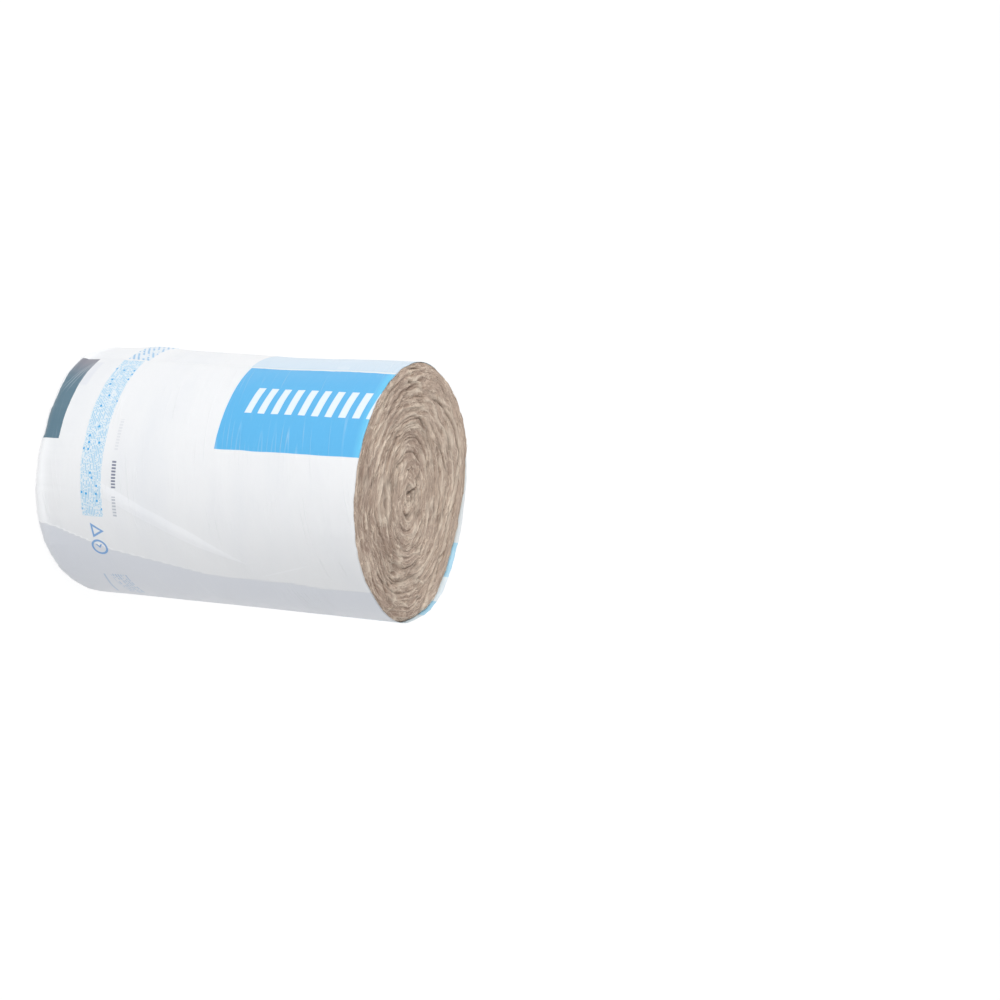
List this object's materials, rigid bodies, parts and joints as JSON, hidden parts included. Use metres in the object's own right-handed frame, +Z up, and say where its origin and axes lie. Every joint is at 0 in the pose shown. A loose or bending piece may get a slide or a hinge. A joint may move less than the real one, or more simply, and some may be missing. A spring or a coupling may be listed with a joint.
{
  "type": "insulation roll",
  "caption": "Half of a film-wrapped glass wool insulation roll, sawn across, standing on its closed end with the wound turns showing on the cut end.",
  "frame": {"origin": "centre of the bounding box's base, on the floor under the closed end", "axes": "+Z up the roll's axis towards the cut end, the printed front with the film's overlap faces -Y, and the side that is uppermost in the picture faces -X"},
  "size_m": [0.4283, 0.4292, 0.6089],
  "materials": {
    "glass_wool": "matt, fibrous",
    "wrap_film": "glossy thin polyethylene film"
  },
  "bodies": {
    "root": {"wool_roll": "glass_wool", "film_wrap": "wrap_film"}
  },
  "joints": []
}
